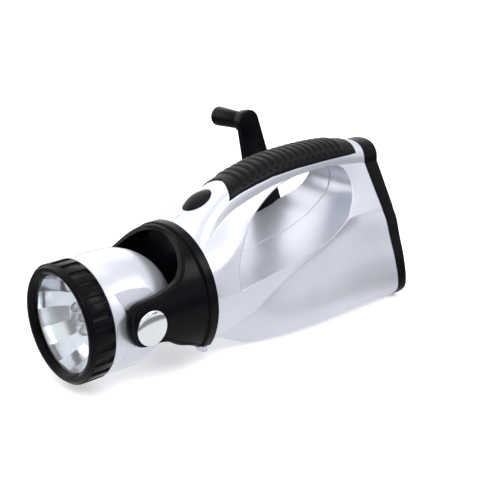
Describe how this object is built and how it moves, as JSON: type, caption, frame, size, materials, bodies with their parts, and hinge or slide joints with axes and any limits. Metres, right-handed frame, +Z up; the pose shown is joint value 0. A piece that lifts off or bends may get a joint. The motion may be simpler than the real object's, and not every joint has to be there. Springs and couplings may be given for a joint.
{
  "type": "hand crank flashlight",
  "caption": "Loop-handled lamp with a faceted reflector head that tilts in a forked collar, a thumb switch, a ribbed grip and a side crank that drives a dynamo.",
  "frame": {"origin": "middle of the flat tail face, on the axis of the light", "axes": "+X out of the tail (the light shines along -X when the head is straight), +Y towards the crank, +Z up"},
  "size_m": [0.2183, 0.1076, 0.1122],
  "materials": {
    "silver_paint": "silver metallic paint on moulded plastic, glossy",
    "black_plastic": "moulded black plastic, satin",
    "black_rubber": "moulded soft rubber, matt",
    "chrome": "bright chrome plating",
    "mirror_coat": "vacuum-metallised plastic in flat facets",
    "clear_plastic": "clear, polished",
    "steel": "zinc-plated steel",
    "brass": "turned brass",
    "copper": "enamelled copper wire, wound",
    "white_nylon": "natural nylon, moulded",
    "green_board": "glass-fibre circuit board with green lacquer",
    "cell_sleeve": "blue plastic sleeve over a metal can"
  },
  "bodies": {
    "body": {"body_shell_near": "silver_paint", "body_shell_far": "silver_paint", "shell_screw_front_low": "steel", "shell_screw_front_high": "steel", "shell_screw_middle_low": "steel", "shell_screw_rear_low": "steel", "shell_screw_rear_high": "steel", "grip_pad": "black_rubber", "switch_body": "black_plastic", "switch_board": "green_board", "rear_cover": "black_plastic", "cover_screw_near_low": "steel", "cover_screw_far_low": "steel", "cover_screw_near_high": "steel", "cover_screw_far_high": "steel", "yoke": "black_plastic", "pivot_cap_near": "chrome", "pivot_pin_near": "steel", "friction_washer_near": "black_rubber", "pivot_cap_far": "chrome", "pivot_pin_far": "steel", "friction_washer_far": "black_rubber", "idler_axle_1": "steel", "idler_axle_2": "steel", "gearbox_base": "black_plastic", "gearbox_cover": "black_plastic", "generator_can": "steel", "generator_coil": "copper", "crank_bush": "brass", "battery_cell_1": "cell_sleeve", "battery_cell_2": "cell_sleeve", "battery_cell_3": "cell_sleeve", "battery_cradle": "black_plastic", "charge_board": "green_board", "dc_socket": "black_plastic"},
    "head": {"head_shell": "silver_paint", "bezel_ring": "black_plastic", "lens": "clear_plastic", "lens_seal": "black_rubber", "reflector": "mirror_coat", "led_board": "green_board", "led_1": "clear_plastic", "led_2": "clear_plastic", "led_3": "clear_plastic", "led_4": "clear_plastic", "led_5": "clear_plastic", "led_6": "clear_plastic", "led_7": "clear_plastic"},
    "switch": {"switch_button": "black_rubber"},
    "crank": {"crank_arm": "black_plastic", "crank_screw": "steel", "crank_shaft": "steel", "crank_gear": "white_nylon", "knob_pin": "steel"},
    "knob": {"crank_knob": "black_plastic"},
    "idler_1": {"idler_gear_1": "white_nylon"},
    "idler_2": {"idler_gear_2": "white_nylon"},
    "rotor": {"generator_rotor": "steel"}
  },
  "joints": [
    {"name": "head_tilt", "type": "hinge", "parent": "body", "child": "head", "pos_m": [-0.1868, 0, 0], "axis": [0, 1, 0], "range_deg": [0, 90]},
    {"name": "switch_press", "type": "slide", "parent": "body", "child": "switch", "axis": [0.4388, 0, -0.8986], "range_m": [0, 0.0012], "stiffness_N_per_m": 1200},
    {"name": "crank_spin", "type": "hinge", "parent": "body", "child": "crank", "pos_m": [-0.038, 0, 0.002], "axis": [0, 1, 0], "continuous": true},
    {"name": "knob_spin", "type": "hinge", "parent": "crank", "child": "knob", "pos_m": [-0.05517, 0.058, 0.06935], "axis": [0, 1, 0], "continuous": true},
    {"name": "idler_1_spin", "type": "hinge", "parent": "body", "child": "idler_1", "pos_m": [-0.05512, 0, -0.00653], "axis": [0, 1, 0], "continuous": true},
    {"name": "idler_2_spin", "type": "hinge", "parent": "body", "child": "idler_2", "pos_m": [-0.06969, 0, -0.01529], "axis": [0, 1, 0], "continuous": true},
    {"name": "rotor_spin", "type": "hinge", "parent": "body", "child": "rotor", "pos_m": [-0.08308, 0, -0.01293], "axis": [0, 1, 0], "continuous": true}
  ],
  "couplings": [
    {"joint": "idler_1_spin", "follows": "crank_spin", "ratio": -4},
    {"joint": "idler_2_spin", "follows": "crank_spin", "ratio": 16},
    {"joint": "rotor_spin", "follows": "crank_spin", "ratio": -48}
  ]
}
